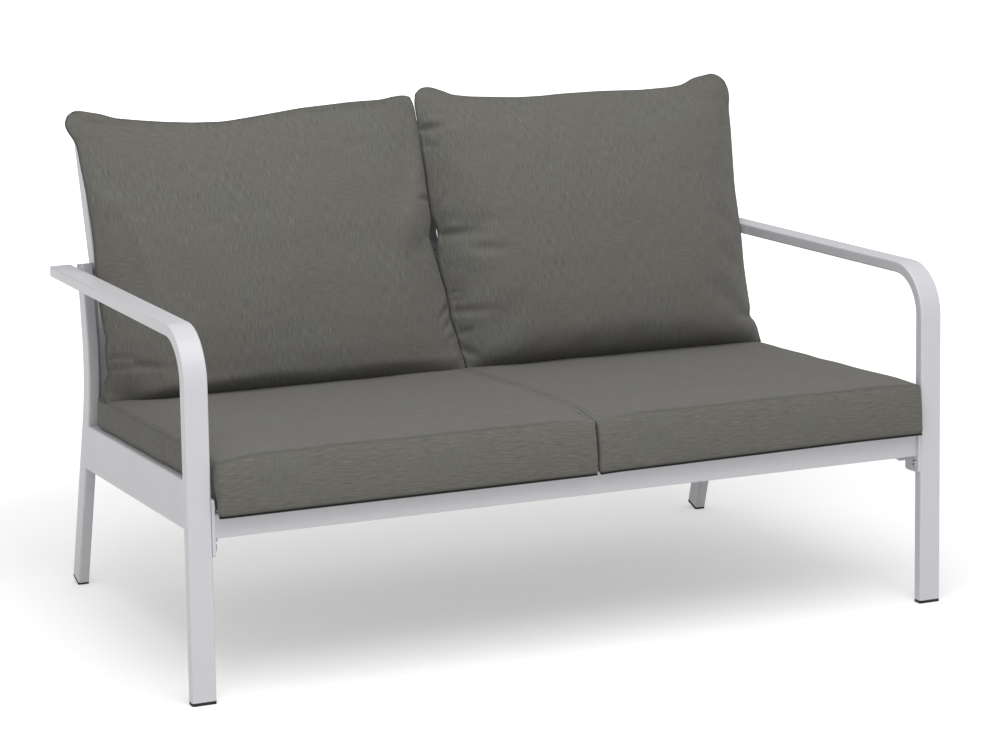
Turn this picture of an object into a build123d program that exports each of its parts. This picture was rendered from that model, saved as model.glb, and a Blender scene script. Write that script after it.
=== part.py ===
"""Patio loveseat: welded and bolted flat-tube frame with four loose cushions.

Drawn in millimetres with the floor at Z 0, X to the right, Y from front to rear and the
front faces of the front legs at Y 0. At the end the whole part is moved so that its origin
is the middle of its footprint.
"""
from build123d import *
from math import cos, radians, sin, tan
import os

# Overall sizes
overall_width = 1300
arm_height = 565
arm_length = 730

# Flat aluminium tube, and the deeper tube of the legs' and seat's sides
tube_wide = 38
tube_thin = 19
tube_wall = 1.6
tube_corner = 3
leg_deep = 35
side_rail_high = 78

# Armrest bend, outside radius
arm_bend = 83

# Plastic plugs and caps
foot_high = 5
end_cap_thick = 3
plug_insert = 15
post_cap_insert = 8
rear_foot_trim = 1

# Rear leg: raked below its knee, leaning back above it
knee_ahead_of_arm_end = 74.5
leg_knee_height = 376
leg_rake = 18
post_lean = 8
leg_bend = 360
post_rise = 7

# Seat frame
front_rail_height = 249.5
front_rail_set_back = 5
seat_fall = 1.6
side_rail_below = 12
bracket_thick = 5
bracket_long = 40
bracket_below = 27
bracket_above = 22.5
bracket_corner = 5
rail_run_past = 10

# Back frame
spacer_thick = 4
upright_bend_height = 517
upright_ahead = 4
upright_toe = 3.2
back_lean = 18.7
upright_bend = 150
upright_bottom = 285
back_above_arm = 225
bottom_rail_height = 312
middle_rail_below_arm = 10
slat_deep = 12
centre_slat_wide = 72

# Fasteners
bolt_radius = 3
bolt_head_radius = 7
bolt_head_high = 3.6
bolt_head_round = 2.4
arm_bolt_head_radius = 5.25
arm_bolt_rail_gap = 0.5
hex_socket = 2
hex_deep = 2.2
hole_ease = 0.3
nut_radius = 4.5
nut_long = 12
nut_bulb_radius = 6
nut_bulb_long = 4
spacer_radius = 6
leg_bolt_height = 340

# Seat cushions
seat_front = -20
seat_ahead_of_arm_end = 92
seat_edge_high = 72
seat_crown = 30
seat_side_gap = 6
seat_bulge = 5
seat_corner = 12
seat_roll = 7
seat_split = 17
seat_split_gap = 3
rest_gap = 0.9
rail_gap = 1.5
bolt_gap = 2

# Back cushions
back_seam_height = 564
back_seam_ahead_of_arm_end = 130
back_bottom = 362
back_tall = 500
back_front_bulge = 78
back_rear_bulge = 62
back_ear_over_arm = 10
back_draw_in = 14
back_top_sag = 18
back_split = 13
back_split_gap = 28
back_low_split = 33.5
back_low_split_gap = 15
back_low_narrower = 18
arm_gap = 3

# Cushion covers, their zips and the overrun of every cut
cover_thick = 2
cover_tip_ratio = 8
zip_wide = 9
zip_thick = 1
zip_end_gap = 60
overrun = 20

# Levels and places that follow from the sizes above
leg_knee_y = arm_length - knee_ahead_of_arm_end
seat_depth = arm_length - seat_ahead_of_arm_end - seat_front
back_seam_y = arm_length - back_seam_ahead_of_arm_end
back_height = arm_height + back_above_arm
middle_rail_height = arm_height - middle_rail_below_arm
half_width = overall_width / 2
arm_inner = half_width - tube_wide
post_inner = arm_inner - tube_thin
upright_outer = post_inner - spacer_thick
upright_inner = upright_outer - tube_thin
bracket_inner = arm_inner - bracket_thick
bore_corner = tube_corner - tube_wall
deck_height = front_rail_height + tube_wide
front_rail_rear = front_rail_set_back + tube_thin
fall_rate = tan(radians(seat_fall))

# Hand-picked shares along each cushion: place, narrowing, roll of the edge and crown
seat_form_shares = (
    (0, 1, 1, 0.3),
    (0.14, 0.25, 0.2, 0.75),
    (0.45, 0.5, 0, 1),
    (0.74, 0.4, 0.1, 0.5),
    (0.9, 0.5, 0.4, 0.2),
    (1, 1, 1, 0.1),
)
# Place, drawing in of the sides and fullness, from the bottom edge of a back cushion upwards
back_form_shares = (
    (0, 0, 0.2),
    (0.1, 0.45, 0.6),
    (0.3, 0.95, 0.95),
    (0.52, 1, 1),
    (0.74, 0.85, 0.8),
    (0.92, 0.35, 0.4),
    (1, 0, 0.16),
)
slat_place_shares = (-2 / 3, -1 / 3, 1 / 3, 2 / 3)


def outline(wide, deep):
    """Outside of a flat tube."""
    return RectangleRounded(wide, deep, tube_corner)


def bore(wide, deep):
    """Inside of a flat tube, also the outline of a plug's insert."""
    return RectangleRounded(wide - 2 * tube_wall, deep - 2 * tube_wall, bore_corner)


def up_line(lean):
    """Unit direction that rises and leans back by an angle."""
    return Vector(0, sin(radians(lean)), cos(radians(lean)))


def across(spot, direction):
    """Plane square to a run of tube in a side view, with its X along the part's X."""
    return Plane(origin=spot, x_dir=(1, 0, 0), z_dir=direction)


def run_skin(path, wide, deep):
    """Solid outside of a tube that follows a path in a side view."""
    return sweep(across(path @ 0, path % 0) * outline(wide, deep), path=path)


def run_tube(path, wide, deep):
    """Hollow flat tube along a path in a side view."""
    start = across(path @ 0, path % 0)
    return sweep(start * outline(wide, deep), path=path) - sweep(start * bore(wide, deep), path=path)


def cross_plane(y, z, lean, half):
    """Plane at the left end of a rail that runs along X."""
    depth_line = (0, cos(radians(lean)), -sin(radians(lean)))
    return Plane(origin=(-half, y, z), x_dir=depth_line, z_dir=(1, 0, 0))


def cross_skin(y, z, lean, deep, tall, half):
    """Solid outside of a rail that runs along X."""
    return extrude(cross_plane(y, z, lean, half) * outline(deep, tall), amount=2 * half)


def cross_tube(y, z, lean, deep, tall, half):
    """Hollow rail that runs along X."""
    core = extrude(cross_plane(y, z, lean, half) * bore(deep, tall), amount=2 * half)
    return cross_skin(y, z, lean, deep, tall, half) - core


def block(low, high):
    """Box between two corners."""
    size = [b - a for a, b in zip(low, high)]
    middle = [(a + b) / 2 for a, b in zip(low, high)]
    return Pos(*middle) * Box(*size)


def rod(side, inner, outer, y, z, radius):
    """Round bar along X between two distances from the middle, on one side."""
    middle = side * (inner + outer) / 2
    return Pos(middle, y, z) * Rot(0, 90, 0) * Cylinder(radius, abs(outer - inner))


def plug(face, wide, deep, head, insert=plug_insert):
    """Plug whose insert goes into a tube along the face's Z and whose head lies behind it."""
    head_part = extrude(face * outline(wide, deep), amount=-head)
    return head_part + extrude(face * bore(wide, deep), amount=insert)


def deck_z(y):
    """Height of the seat deck, which falls to the rear."""
    return deck_height - (y - front_rail_rear) * fall_rate


def side_rail_bottom(y):
    """Height of a side rail's lower edge."""
    return front_rail_height - side_rail_below - (y - bracket_long) * fall_rate


def side_rail_top(y):
    """Height of a side rail's upper edge."""
    return side_rail_bottom(y) + side_rail_high / cos(radians(seat_fall))


def arm_path(side):
    """Middle line of a front leg and its armrest."""
    x = side * (half_width - tube_wide / 2)
    leg_y = tube_thin / 2
    top = arm_height - tube_thin / 2
    end = arm_length - end_cap_thick
    return FilletPolyline((x, leg_y, foot_high), (x, leg_y, top), (x, end, top), radius=arm_bend - tube_thin / 2)


def leg_foot_end():
    """Middle of a rear foot's underside, set so that its front edge is trimmed by the floor."""
    z = leg_deep / 2 * sin(radians(leg_rake)) - rear_foot_trim
    return Vector(0, leg_knee_y + (leg_knee_height - z) * tan(radians(leg_rake)), z)


def leg_top_end():
    """Middle of the top of a rear leg's cap."""
    z = arm_height + post_rise
    return Vector(0, leg_knee_y + (z - leg_knee_height) * tan(radians(post_lean)), z)


def leg_path(side):
    """Middle line of a rear leg, inboard of the armrest."""
    x = Vector(side * (post_inner + tube_thin / 2), 0, 0)
    start = leg_foot_end() + up_line(-leg_rake) * foot_high
    knee = Vector(0, leg_knee_y, leg_knee_height)
    end = leg_top_end() - up_line(post_lean) * end_cap_thick
    return FilletPolyline(x + start, x + knee, x + end, radius=leg_bend)


def leg_y(z):
    """Y of a rear leg's middle line, taken along its straight runs."""
    if z < leg_knee_height:
        return leg_knee_y + (leg_knee_height - z) * tan(radians(leg_rake))
    return leg_knee_y + (z - leg_knee_height) * tan(radians(post_lean))


def upright_y(z):
    """Y of a back upright's middle line, taken along its straight runs."""
    bend_y = leg_y(upright_bend_height) - upright_ahead
    if z < upright_bend_height:
        return bend_y + (upright_bend_height - z) * tan(radians(upright_toe))
    return bend_y + (z - upright_bend_height) * tan(radians(back_lean))


def upright_path(side):
    """Middle line of a back upright between its end plugs."""
    x = Vector(side * (upright_inner + tube_thin / 2), 0, 0)
    low = Vector(0, upright_y(upright_bottom), upright_bottom) + up_line(-upright_toe) * end_cap_thick
    bend = Vector(0, upright_y(upright_bend_height), upright_bend_height)
    high = Vector(0, upright_y(back_height), back_height) - up_line(back_lean) * end_cap_thick
    return FilletPolyline(x + low, x + bend, x + high, radius=upright_bend)


def arm_bolt_spot():
    """Y and Z of the long bolt into the armrest, its head just behind the middle rail."""
    z = arm_height - tube_thin / 2
    rail_y, rail_z = back_rail_spot(middle_rail_height, back_lean, tube_thin)
    behind = (tube_thin / 2 + arm_bolt_head_radius + arm_bolt_rail_gap) / cos(radians(back_lean))
    return rail_y + behind + (z - rail_z) * tan(radians(back_lean)), z


def leg_bolt_spot():
    """Y and Z of the bolt that holds an upright's lower half to the rear leg."""
    z = leg_bolt_height
    return (leg_y(z) + upright_y(z)) / 2, z


def bracket_bolt_spots():
    """Y and Z of the two bolts through a front bracket, below and above the front rail."""
    y = tube_thin / 2
    below = front_rail_height - bracket_below / 2
    above = deck_height + bracket_above / 2
    return ((y, below), (y, above))


def arm_tube(side):
    """Front leg and armrest in one bent tube, holed for its rivet nuts."""
    tube = run_tube(arm_path(side), tube_wide, tube_thin)
    spots = bracket_bolt_spots() + (arm_bolt_spot(),)
    for y, z in spots:
        tube -= rod(side, arm_inner - overrun, arm_inner + tube_wall * 2, y, z, nut_radius)
    return tube


def front_foot(side):
    """Plug under a front leg."""
    x = side * (half_width - tube_wide / 2)
    return plug(across((x, tube_thin / 2, foot_high), (0, 0, 1)), tube_wide, tube_thin, foot_high)


def arm_end_plug(side):
    """Plug in the rear end of an armrest."""
    x = side * (half_width - tube_wide / 2)
    end = (x, arm_length - end_cap_thick, arm_height - tube_thin / 2)
    return plug(across(end, (0, -1, 0)), tube_wide, tube_thin, end_cap_thick)


def rear_leg(side):
    """Rear leg from the floor to the armrest, with through holes for both bolts."""
    tube = run_tube(leg_path(side), tube_thin, leg_deep)
    y, z = arm_bolt_spot()
    tube -= rod(side, post_inner - overrun, arm_inner + overrun, y, z, bolt_radius + hole_ease)
    y, z = leg_bolt_spot()
    tube -= rod(side, post_inner - overrun, post_inner + tube_wall * 2, y, z, nut_radius)
    return tube


def rear_foot(side):
    """Plug under a rear leg, square to the leg and trimmed flat where it stands."""
    path = leg_path(side)
    foot = plug(across(path @ 0, path % 0), tube_thin, leg_deep, foot_high)
    reach = leg_deep + overrun
    spot = path @ 0
    under = block((spot.X - reach, spot.Y - reach, -reach), (spot.X + reach, spot.Y + reach, 0))
    return foot - under


def post_cap(side):
    """Cap on the top of a rear leg, its insert ending above the bolt into the armrest."""
    path = leg_path(side)
    return plug(across(path @ 1, -(path % 1)), tube_thin, leg_deep, end_cap_thick, post_cap_insert)


def side_rail_shape(side, profile):
    """Straight run under the seat's side, from the bracket into the rear leg."""
    drop = side_rail_high / 2 / cos(radians(seat_fall))
    x = side * (post_inner + tube_thin / 2)
    ahead = bracket_long - rail_run_past
    behind = leg_y(side_rail_bottom(leg_knee_y))
    start = Vector(x, ahead, side_rail_bottom(ahead) + drop)
    end = Vector(x, behind, side_rail_bottom(behind) + drop)
    line = end - start
    return extrude(across(start, line.normalized()) * profile(tube_thin, side_rail_high), amount=line.length)


def side_rail(side):
    """Deep tube along the seat's side, coped to the rear leg."""
    rail = side_rail_shape(side, outline) - side_rail_shape(side, bore)
    leg = run_skin(leg_path(side), tube_thin, leg_deep)
    x = side * (post_inner + tube_thin / 2)
    reach = side_rail_high + overrun
    front = block(
        (x - reach, bracket_long - rail_run_past - overrun, front_rail_height - reach),
        (x + reach, bracket_long, deck_height + reach),
    )
    return (rail - leg - front).solids().sort_by(Axis.Y)[0]


def front_bracket(side):
    """Angle plate on a front leg's inner face, its return closing the side rail."""
    low = front_rail_height - bracket_below
    high = deck_height + bracket_above
    middle = (low + high) / 2
    sheet = Plane(origin=(side * arm_inner, bracket_long / 2, middle), x_dir=(0, 1, 0), z_dir=(-side, 0, 0))
    plate = extrude(sheet * RectangleRounded(bracket_long, high - low, bracket_corner), amount=bracket_thick)
    end = sorted((side * post_inner, side * bracket_inner))
    back = block(
        (end[0], bracket_long - bracket_thick, side_rail_bottom(bracket_long)),
        (end[1], bracket_long, side_rail_top(bracket_long)),
    )
    bracket = plate + back
    for y, z in bracket_bolt_spots():
        bracket -= rod(side, bracket_inner - overrun, arm_inner + overrun, y, z, bolt_radius + hole_ease)
    return bracket


def front_rail():
    """Rail between the front brackets."""
    y = front_rail_set_back + tube_thin / 2
    return cross_tube(y, front_rail_height + tube_wide / 2, 0, tube_thin, tube_wide, bracket_inner)


def rear_rail_y():
    """Middle of the rear rail, on the rear legs' middle line."""
    return leg_y(front_rail_height)


def rear_rail():
    """Rail between the rear legs, under the rear of the deck."""
    y = rear_rail_y()
    top = deck_z(y - tube_thin / 2)
    return cross_tube(y, top - tube_wide / 2, 0, tube_thin, tube_wide, post_inner)


def deck_member(x, wide, high):
    """Tube from the front rail to the rear rail with its top in the seat deck."""
    ahead = front_rail_set_back
    behind = rear_rail_y()
    drop = high / 2 / cos(radians(seat_fall))
    start = Vector(x, ahead, deck_z(ahead) - drop)
    line = Vector(x, behind, deck_z(behind) - drop) - start
    plane = across(start, line.normalized())
    bar = extrude(plane * outline(wide, high), amount=line.length)
    bar -= extrude(plane * bore(wide, high), amount=line.length)
    keep = block(
        (x - wide, front_rail_rear, front_rail_height - tube_wide),
        (x + wide, behind - tube_thin / 2, deck_height + tube_wide),
    )
    return bar & keep


def seat_slat(share):
    """Flat tube under the cushions, front to rear."""
    return deck_member(share * post_inner, tube_wide, tube_thin)


def centre_bearer():
    """Tube on edge under the gap between the seat cushions."""
    return deck_member(0, tube_thin, tube_wide)


def back_upright(side):
    """Bent tube of the back frame, holed for both bolts."""
    tube = run_tube(upright_path(side), tube_thin, leg_deep)
    for y, z in (arm_bolt_spot(), leg_bolt_spot()):
        tube -= rod(side, upright_inner - overrun, upright_outer + overrun, y, z, bolt_radius + hole_ease)
    return tube


def upright_plugs(at_top):
    """Both uprights' plugs at one end."""
    pair = []
    for side in (-1, 1):
        path = upright_path(side)
        end = across(path @ 1, -(path % 1)) if at_top else across(path @ 0, path % 0)
        pair.append(plug(end, tube_thin, leg_deep, end_cap_thick))
    return Compound(children=pair)


def back_rail_spot(height, lean, deep):
    """Middle of something flush with the uprights' front faces."""
    ahead = (leg_deep - deep) / 2
    return upright_y(height) - ahead * cos(radians(lean)), height + ahead * sin(radians(lean))


def back_rail_sizes():
    """Height, lean and height of the section of the back's three rails."""
    top_height = back_height - tube_wide
    return (
        ("back_top_rail", top_height, back_lean, tube_wide),
        ("back_middle_rail", middle_rail_height, back_lean, tube_thin),
        ("back_bottom_rail", bottom_rail_height, -upright_toe, tube_wide),
    )


def back_rail(shape, height, lean, tall):
    """One rail of the back frame, as a tube or as its solid outside."""
    y, z = back_rail_spot(height, lean, tube_thin)
    return shape(y, z, lean, tube_thin, tall, upright_inner)


def back_slat(x, wide, low, high):
    """Slat between two back rails, coped to both."""
    ends = []
    for name, height, lean, tall in (low, high):
        y, z = back_rail_spot(height, lean, slat_deep)
        ends.append(Vector(x, y, z))
    line = ends[1] - ends[0]
    plane = across(ends[0], line.normalized())
    bar = extrude(plane * outline(wide, slat_deep), amount=line.length)
    bar -= extrude(plane * bore(wide, slat_deep), amount=line.length)
    for name, height, lean, tall in (low, high):
        bar -= back_rail(cross_skin, height, lean, tall)
    return bar


def button_bolt(side, seat_face, grip, y, z, head_radius=bolt_head_radius):
    """Button-head bolt with a hexagon socket, its head inboard of the face it clamps."""
    head = rod(side, seat_face - bolt_head_high, seat_face, y, z, head_radius)
    rim = head.edges().filter_by(GeomType.CIRCLE).sort_by(Axis.X)
    head = fillet(rim[0] if side > 0 else rim[-1], bolt_head_round)
    x = side * (seat_face - bolt_head_high)
    key = Plane(origin=(x, y, z), x_dir=(0, 1, 0), z_dir=(side, 0, 0)) * RegularPolygon(hex_socket, 6)
    bolt = head + rod(side, seat_face, seat_face + grip, y, z, bolt_radius)
    return bolt - extrude(key, amount=hex_deep)


def bracket_bolts():
    """Four short bolts through the front brackets."""
    grip = bracket_thick + nut_long
    spots = [(side, y, z) for side in (-1, 1) for y, z in bracket_bolt_spots()]
    return Compound(children=[button_bolt(side, bracket_inner, grip, y, z) for side, y, z in spots])


def arm_bolts():
    """Two long bolts through upright, spacer and rear leg into the armrests."""
    grip = arm_inner - upright_inner + nut_long
    spot = arm_bolt_spot()
    pair = [button_bolt(side, upright_inner, grip, *spot, arm_bolt_head_radius) for side in (-1, 1)]
    return Compound(children=pair)


def leg_bolts():
    """Two bolts through upright and spacer into the rear legs."""
    grip = post_inner - upright_inner + nut_long
    y, z = leg_bolt_spot()
    return Compound(children=[button_bolt(side, upright_inner, grip, y, z) for side in (-1, 1)])


def rivet_nut(side, face, y, z):
    """Blind nut set in a tube's inboard wall."""
    nut = rod(side, face, face + nut_long, y, z, nut_radius)
    behind = face + tube_wall
    nut += rod(side, behind, behind + nut_bulb_long, y, z, nut_bulb_radius)
    return nut - rod(side, face - overrun, face + nut_long + overrun, y, z, bolt_radius)


def rivet_nuts():
    """All eight blind nuts."""
    spots = [(arm_inner,) + spot for spot in bracket_bolt_spots()]
    spots += [(arm_inner,) + arm_bolt_spot(), (post_inner,) + leg_bolt_spot()]
    return Compound(children=[rivet_nut(side, *spot) for side in (-1, 1) for spot in spots])


def frame_spacers():
    """Four nylon spacers between the uprights and the rear legs."""
    rings = []
    for side in (-1, 1):
        for y, z in (arm_bolt_spot(), leg_bolt_spot()):
            ring = rod(side, upright_outer, post_inner, y, z, spacer_radius)
            hole = rod(side, upright_outer - overrun, post_inner + overrun, y, z, bolt_radius + hole_ease)
            rings.append(ring - hole)
    return Compound(children=rings)


def seat_frame_plane():
    """Frame of the seat cushions: X across, Y down the deck to the rear, Z out of it."""
    fall = radians(seat_fall)
    origin = Vector(0, seat_front, deck_z(seat_front)) + Vector(0, sin(fall), cos(fall)) * rest_gap
    return Plane(origin=origin, x_dir=(1, 0, 0), z_dir=(0, sin(fall), cos(fall)))


def seat_section(low_x, high_x, share, narrow, roll, crown, inset):
    """Closed outline of a seat cushion at one place along its depth."""
    side_in = inset + seat_bulge + narrow * seat_corner
    left = low_x + side_in
    right = high_x - side_in
    low = inset + roll * seat_roll
    high = seat_edge_high - inset - roll * seat_roll
    middle = (low + high) / 2
    top = high + crown * seat_crown
    place = inset + share * (seat_depth - 2 * inset)
    edges = [
        Line((left, low), (right, low)),
        ThreePointArc((right, low), (right + seat_bulge, middle), (right, high)),
        ThreePointArc((right, high), ((left + right) / 2, top), (left, high)),
        ThreePointArc((left, high), (left - seat_bulge, middle), (left, low)),
    ]
    spot = Plane(origin=(0, place, 0), x_dir=(1, 0, 0), z_dir=(0, -1, 0))
    return spot * make_face(Curve() + edges)


def seat_edges(side):
    """Left and right extreme of the seat cushion on one side."""
    outer = arm_inner - seat_side_gap
    half_gap = seat_split_gap / 2
    return (-outer, seat_split - half_gap) if side < 0 else (seat_split + half_gap, outer)


def seat_form(side, inset):
    """Crowned seat cushion, cut back beside the side rail and the bracket's bolts."""
    low_x, high_x = seat_edges(side)
    sections = [
        seat_section(low_x, high_x, share, narrow, roll, crown, inset)
        for share, narrow, roll, crown in seat_form_shares
    ]
    form = seat_frame_plane() * loft(sections)
    rail_side = post_inner - rail_gap - inset
    bolt_side = bracket_inner - bolt_head_high - bolt_gap - inset
    top = side_rail_top(bracket_long) + rail_gap + inset
    rail_front = bracket_long - bracket_thick - bolt_gap - inset
    form -= room_beside(side, rail_side, rail_front, top)
    return form - room_beside(side, bolt_side, seat_front - overrun, top)


def room_beside(side, inner, front, top):
    """Space beside the cushions that follows the side rails' fall, from a front place to the rear."""
    fall = radians(seat_fall)
    ends = sorted((side * inner, side * (half_width + overrun)))
    length = seat_depth + 2 * overrun + bracket_long
    room = block((ends[0], 0, -arm_height), (ends[1], length, 0))
    height = top - (front - bracket_long) * tan(fall)
    tilt = Plane(origin=(0, front, height), x_dir=(1, 0, 0), z_dir=(0, sin(fall), cos(fall)))
    return tilt * room


def seat_zip(side):
    """Zip along the rear of a seat cushion's cover."""
    low_x, high_x = seat_edges(side)
    rise = (seat_edge_high - zip_wide) / 2
    strip = block(
        (low_x + zip_end_gap, seat_depth, rise),
        (high_x - zip_end_gap, seat_depth + zip_thick, rise + zip_wide),
    )
    return seat_frame_plane() * strip


def back_seam_point(rise):
    """Point of the back cushions' seam plane at a distance above its lower edge."""
    drop = back_seam_height - back_bottom
    start = Vector(0, back_seam_y - drop * tan(radians(back_lean)), back_bottom)
    return start + up_line(back_lean) * rise


def back_edges(side, share):
    """Left and right seam of the back cushion on one side, at a share of its height."""
    split = back_low_split + share * (back_split - back_low_split)
    half_gap = (back_low_split_gap + share * (back_split_gap - back_low_split_gap)) / 2
    outer = arm_inner + back_ear_over_arm - (1 - share) * back_low_narrower
    return (-outer, split - half_gap) if side < 0 else (split + half_gap, outer)


def back_section(side, share, draw, full, inset):
    """Pointed oval outline of a back cushion at one height."""
    tip = inset * cover_tip_ratio
    low_x, high_x = back_edges(side, share)
    left = low_x + draw * back_draw_in + tip
    right = high_x - draw * back_draw_in - tip
    middle = (left + right) / 2
    front = full * back_front_bulge - inset
    rear = full * back_rear_bulge - inset
    rise = inset + share * (back_tall - 2 * inset)
    edges = [
        ThreePointArc((left, 0), (middle, front), (right, 0)),
        ThreePointArc((right, 0), (middle, -rear), (left, 0)),
    ]
    spot = Plane(origin=back_seam_point(rise), x_dir=(1, 0, 0), z_dir=-up_line(back_lean))
    return spot * make_face(Curve() + edges)


def back_top_cut(side, inset):
    """Cutter that lets the top seam sag between a back cushion's ears."""
    low_x, high_x = back_edges(side, 1)
    half = (high_x - low_x) / 2
    sag = back_top_sag
    radius = (half ** 2 + sag ** 2) / (2 * sag)
    spot = back_seam_point(back_tall - sag - inset + radius)
    plane = Plane(origin=spot, x_dir=(1, 0, 0), z_dir=(0, -cos(radians(back_lean)), sin(radians(back_lean))))
    reach = back_front_bulge + back_rear_bulge
    return Pos((low_x + high_x) / 2, 0, 0) * plane * Cylinder(radius, 2 * reach)


def back_form(side, inset):
    """Back cushion with ears at its corners, kept clear of the armrest and post on its side."""
    sections = [back_section(side, share, draw, full, inset) for share, draw, full in back_form_shares]
    form = loft(sections) - back_top_cut(side, inset)
    inner = arm_inner - arm_gap - inset
    ends = sorted((side * inner, side * (half_width + overrun)))
    top = arm_height + post_rise + arm_gap + inset
    return form - block((ends[0], -overrun, 0), (ends[1], arm_length + overrun, top))


def back_zip(side):
    """Zip in the lower edge of a back cushion's cover."""
    low_x, high_x = back_edges(side, 0)
    spot = Plane(origin=back_seam_point(0), x_dir=(1, 0, 0), z_dir=-up_line(back_lean))
    length = high_x - low_x - 2 * zip_end_gap
    strip = Pos((low_x + high_x) / 2, 0, 0) * spot * Rectangle(length, zip_wide)
    return extrude(strip, amount=zip_thick)


def cushion_nodes(name, side, form, zip_maker):
    """Cover, filling and zip of one cushion."""
    filling = form(side, cover_thick)
    cover = form(side, 0) - filling
    return {name + "_cover": cover, name + "_filling": filling, name + "_zip": zip_maker(side)}


def side_nodes(side, name):
    """Nodes that both sides of the frame have."""
    return {
        "arm_tube_" + name: arm_tube(side),
        "front_foot_" + name: front_foot(side),
        "arm_end_plug_" + name: arm_end_plug(side),
        "rear_leg_" + name: rear_leg(side),
        "rear_foot_" + name: rear_foot(side),
        "post_cap_" + name: post_cap(side),
        "side_rail_" + name: side_rail(side),
        "front_bracket_" + name: front_bracket(side),
        "back_upright_" + name: back_upright(side),
    }


def back_nodes():
    """Rails and slats of the back frame."""
    top, middle, bottom = back_rail_sizes()
    nodes = {name: back_rail(cross_tube, *sizes) for name, *sizes in (top, middle, bottom)}
    for level, low, high in (("upper", middle, top), ("lower", bottom, middle)):
        nodes["back_centre_slat_" + level] = back_slat(0, centre_slat_wide, low, high)
        for number, share in enumerate(slat_place_shares, start=1):
            nodes[f"back_slat_{level}_{number}"] = back_slat(share * upright_inner, tube_wide, low, high)
    return nodes


def all_nodes():
    """Every piece by its name."""
    nodes = {}
    for side, name in ((-1, "left"), (1, "right")):
        nodes.update(side_nodes(side, name))
    nodes["front_rail"] = front_rail()
    nodes["rear_rail"] = rear_rail()
    nodes["centre_bearer"] = centre_bearer()
    for number, share in enumerate(slat_place_shares, start=1):
        nodes[f"seat_slat_{number}"] = seat_slat(share)
    nodes.update(back_nodes())
    nodes["upright_top_plugs"] = upright_plugs(True)
    nodes["upright_bottom_plugs"] = upright_plugs(False)
    nodes["bracket_bolts"] = bracket_bolts()
    nodes["arm_bolts"] = arm_bolts()
    nodes["leg_bolts"] = leg_bolts()
    nodes["rivet_nuts"] = rivet_nuts()
    nodes["frame_spacers"] = frame_spacers()
    for side, name in ((-1, "left"), (1, "right")):
        nodes.update(cushion_nodes("seat_" + name, side, seat_form, seat_zip))
        nodes.update(cushion_nodes("back_" + name, side, back_form, back_zip))
    return nodes


def whole_box(shapes):
    """Box round all the pieces."""
    boxes = [shape.bounding_box() for shape in shapes]
    whole = boxes[0]
    for box in boxes[1:]:
        whole = whole.add(box)
    return whole


def main():
    """Build every node, centre the footprint on the origin and write one STEP file for each."""
    os.makedirs("parts", exist_ok=True)
    nodes = all_nodes()
    box = whole_box(nodes.values())
    centre = box.center()
    to_origin = Pos(-centre.X, -centre.Y, -box.min.Z)
    for name, shape in nodes.items():
        export_step(to_origin * shape, f"parts/{name}.step")
    print(len(nodes), "nodes, size", box.size, "moved by", -centre.X, -centre.Y, -box.min.Z)


main()
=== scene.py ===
"""Patio loveseat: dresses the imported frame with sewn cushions, zips, finishes, light and camera."""

from copy import copy
from math import cos, radians, sin, sqrt

import bmesh
import bpy
from bpy.props import FloatProperty, FloatVectorProperty, PointerProperty
from bpy.types import Operator, Panel, PropertyGroup
from mathutils import Euler, Matrix, Vector, noise
from mathutils.bvhtree import BVHTree


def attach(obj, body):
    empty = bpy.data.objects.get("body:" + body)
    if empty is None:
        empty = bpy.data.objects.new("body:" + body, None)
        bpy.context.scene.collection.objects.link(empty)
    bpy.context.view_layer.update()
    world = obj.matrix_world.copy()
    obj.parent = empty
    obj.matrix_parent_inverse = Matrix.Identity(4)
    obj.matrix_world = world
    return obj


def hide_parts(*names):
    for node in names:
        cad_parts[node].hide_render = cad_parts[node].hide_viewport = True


bl_info = {
    "name": "Patio loveseat",
    "version": (1, 0, 0),
    "blender": (4, 5, 0),
    "location": "View3D > Sidebar > Loveseat",
    "description": "Sews the cushions and finishes the tube frame of a patio loveseat",
    "category": "Object",
}

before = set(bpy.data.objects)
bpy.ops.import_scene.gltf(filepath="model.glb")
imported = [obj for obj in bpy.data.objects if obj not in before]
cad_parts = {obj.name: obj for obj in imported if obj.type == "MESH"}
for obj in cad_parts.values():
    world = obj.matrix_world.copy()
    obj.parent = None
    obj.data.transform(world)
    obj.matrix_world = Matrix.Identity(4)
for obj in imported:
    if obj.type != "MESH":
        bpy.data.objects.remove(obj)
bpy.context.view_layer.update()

MM = 0.001

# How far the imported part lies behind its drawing, whose zero is the front face of the front legs
DEPTH_SHIFT = -386.551

# Seat deck: slope, and the place of the cushions' lower front edge
DECK_FALL = radians(1.6)
SEAT_FRONT = -20.0
SEAT_REST = 289.63
SEAT_DEPTH = 658.0
SEAT_EDGE = 86.0
SEAT_ZIP = 36.0

# Left and right limit of the seat cushion on each side, and the line on which the two meet
SEAT_SIDES = {-1: (-607.5, 16.9), 1: (17.1, 609.5)}
SEAT_SPLIT = 17.0
SEAT_SPLIT_GAP = 0.05

# Reach of a seat cushion above the side rail or before the legs, beside the rail, and beside the bracket
SEAT_WIDEST = {-1: 608.0, 1: 610.0}
BESIDE_RAIL = 590.0
BESIDE_BRACKET = 600.5
BRACKET_END = 46
LEG_FACE = 17
RAIL_CLEAR = 31
RAIL_ROUND = 3.5

# The front face of a seat cushion, where it hangs over the rail
FRONT_LIP = 18

# Weight of the seat's split seam, which tells its vertices apart
SPLIT_WEIGHT = 0.25

# Seam plane of the back cushions: lean, and the place of its lower edge
BACK_LEAN = radians(18.7)
BACK_FOOT_Y = 531.6
BACK_FOOT_Z = 362.0
BACK_LOW_RISE = -4
BACK_HIGH_RISE = 490

# A back cushion stops at the slats behind it, and below the armrests between these
SLAT_FACE = -63.0
ARM_RISE = 222
ARM_REACH = 608.5

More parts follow.
